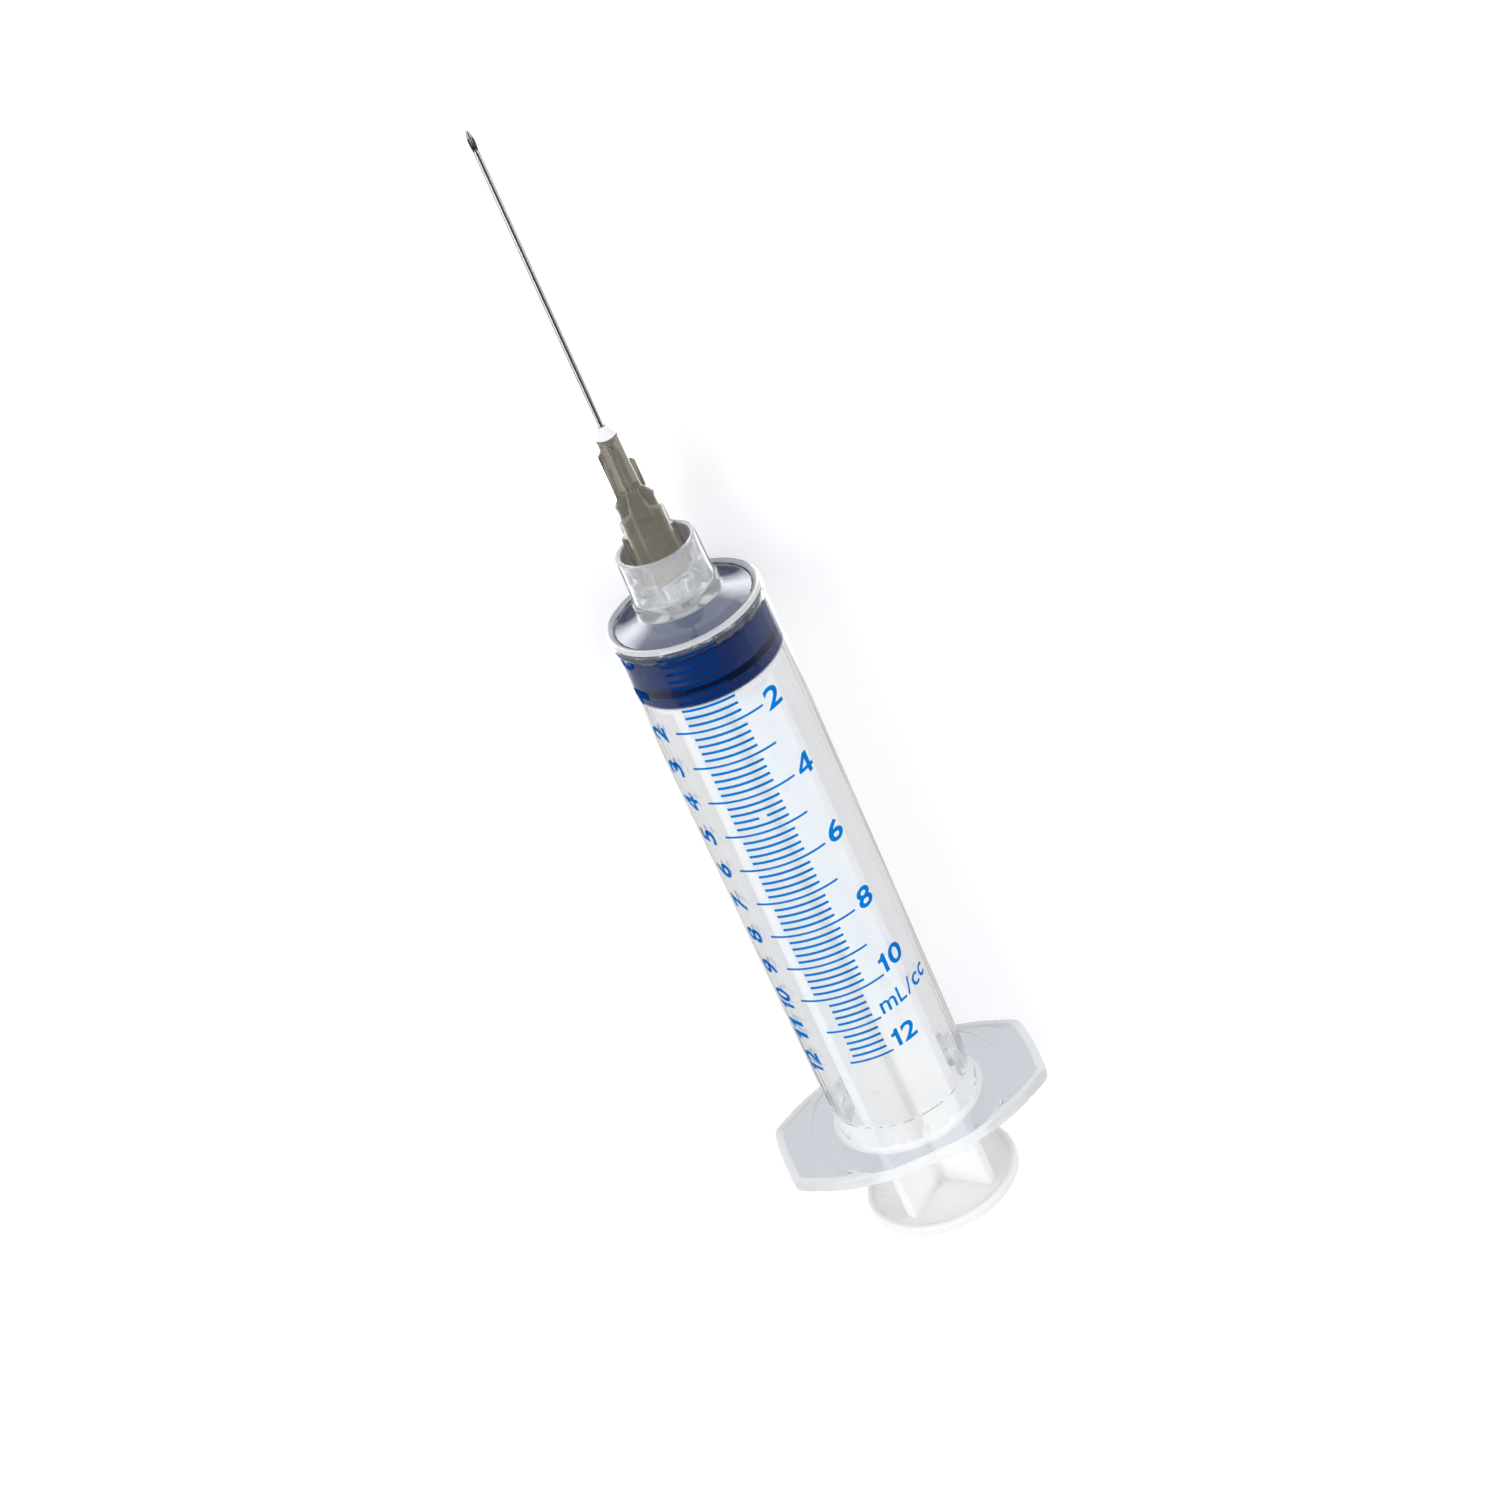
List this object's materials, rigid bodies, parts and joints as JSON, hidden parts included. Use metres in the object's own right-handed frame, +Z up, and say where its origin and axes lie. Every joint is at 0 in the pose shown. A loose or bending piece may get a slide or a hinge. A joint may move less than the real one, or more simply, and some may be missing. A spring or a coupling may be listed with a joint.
{
  "type": "luer lock syringe",
  "caption": "Hypodermic syringe with a printed clear barrel, lock collar, rubber stopper, sliding plunger and screwed-on needle.",
  "frame": {"origin": "on the table, under the middle of the whole length, the syringe lying on its side as it comes to rest", "axes": "+X from the thumb rest towards the needle tip, +Y to the left, +Z up, with the printed scale on top"},
  "size_m": [0.1456, 0.0334, 0.023],
  "materials": {
    "barrel": "clear moulded plastic",
    "scale_marks": "blue printed ink",
    "stopper": "dark blue moulded rubber",
    "plunger_rod": "milky white moulded plastic",
    "needle_hub": "smoky translucent moulded plastic",
    "adhesive_bead": "cured clear adhesive",
    "needle_tube": "drawn stainless steel"
  },
  "bodies": {
    "barrel": {"barrel": "barrel", "scale_marks": "scale_marks"},
    "stopper": {"stopper": "stopper"},
    "plunger_rod": {"plunger_rod": "plunger_rod"},
    "needle_carrier": {"adhesive_bead": "adhesive_bead"},
    "needle": {"needle_hub": "needle_hub", "needle_tube": "needle_tube"}
  },
  "joints": [
    {"name": "plunger_slide", "type": "slide", "parent": "barrel", "child": "stopper", "axis": [-0.9994, 0, 0.0333], "range_m": [0, 0.06]},
    {"name": "rod_spin", "type": "hinge", "parent": "stopper", "child": "plunger_rod", "pos_m": [0.00853, 0, 0.00923], "axis": [-0.9994, 0, 0.0333], "continuous": true},
    {"name": "needle_advance", "type": "slide", "parent": "barrel", "child": "needle_carrier", "axis": [0.9994, 0, -0.0333], "range_m": [0, 0.00326]},
    {"name": "needle_twist", "type": "hinge", "parent": "needle_carrier", "child": "needle", "pos_m": [0.02452, 0, 0.0087], "axis": [0.9994, 0, -0.0333], "range_deg": [0, 236]}
  ],
  "couplings": [
    {"joint": "needle_twist", "follows": "needle_advance", "rad_per_m": 1256.6}
  ]
}
